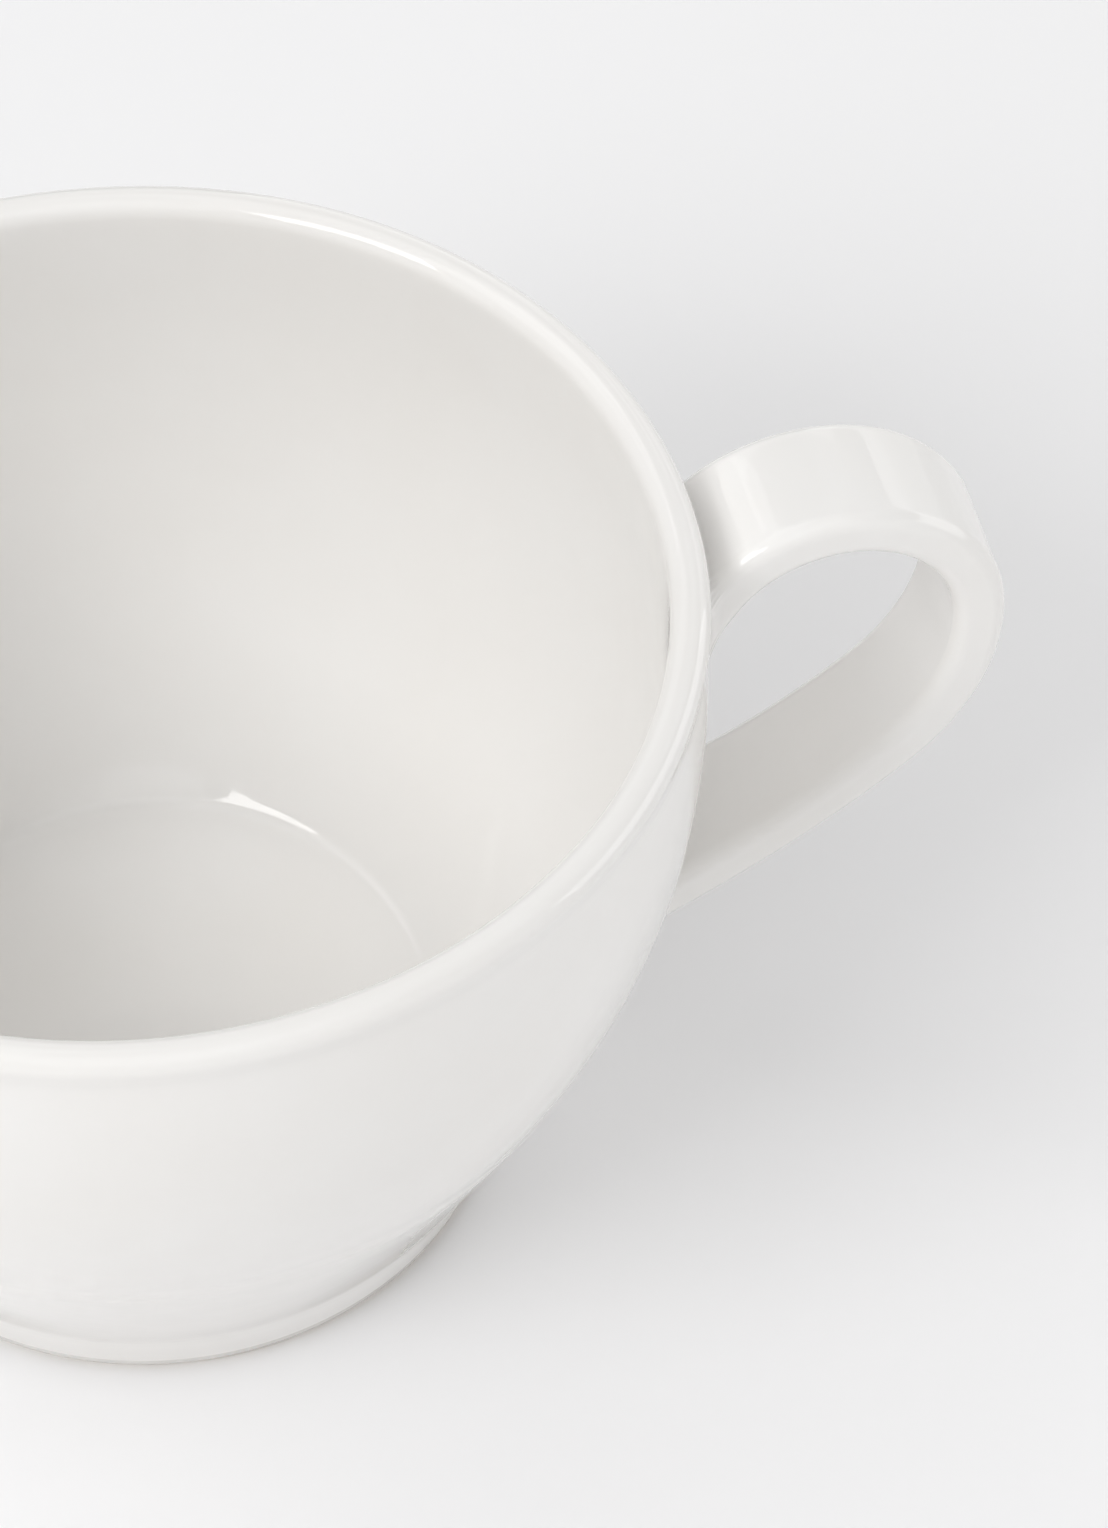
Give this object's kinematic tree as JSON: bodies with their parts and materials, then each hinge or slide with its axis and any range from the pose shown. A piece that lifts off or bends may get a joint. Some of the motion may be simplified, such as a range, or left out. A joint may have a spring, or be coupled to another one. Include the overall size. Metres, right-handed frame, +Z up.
{
  "type": "ceramic mug",
  "caption": "Wide glazed stoneware mug with a rounded lip, a tapered banded base on a low foot ring, and a broad strap handle.",
  "frame": {"origin": "centre of the foot, on the surface the mug stands on, which is on the cup's axis and not under the handle", "axes": "+Z up along the cup's axis, +X towards the handle, +Y to the left when looking along +X; the mug mirrors across the XZ plane"},
  "size_m": [0.1424, 0.112, 0.077],
  "materials": {
    "clay": "bare fired stoneware, matt and fine grained, seen only on the foot ring",
    "slip": "fired joining slip, matt, hidden under the glaze",
    "glaze": "glossy warm white glaze, slightly uneven, with a soft edge at the bare foot ring"
  },
  "bodies": {
    "root": {"body": "clay", "handle": "clay", "upper_handle_joint": "slip", "lower_handle_joint": "slip", "inside_glaze": "glaze", "outside_glaze": "glaze", "base_glaze": "glaze", "handle_glaze": "glaze"}
  },
  "joints": []
}
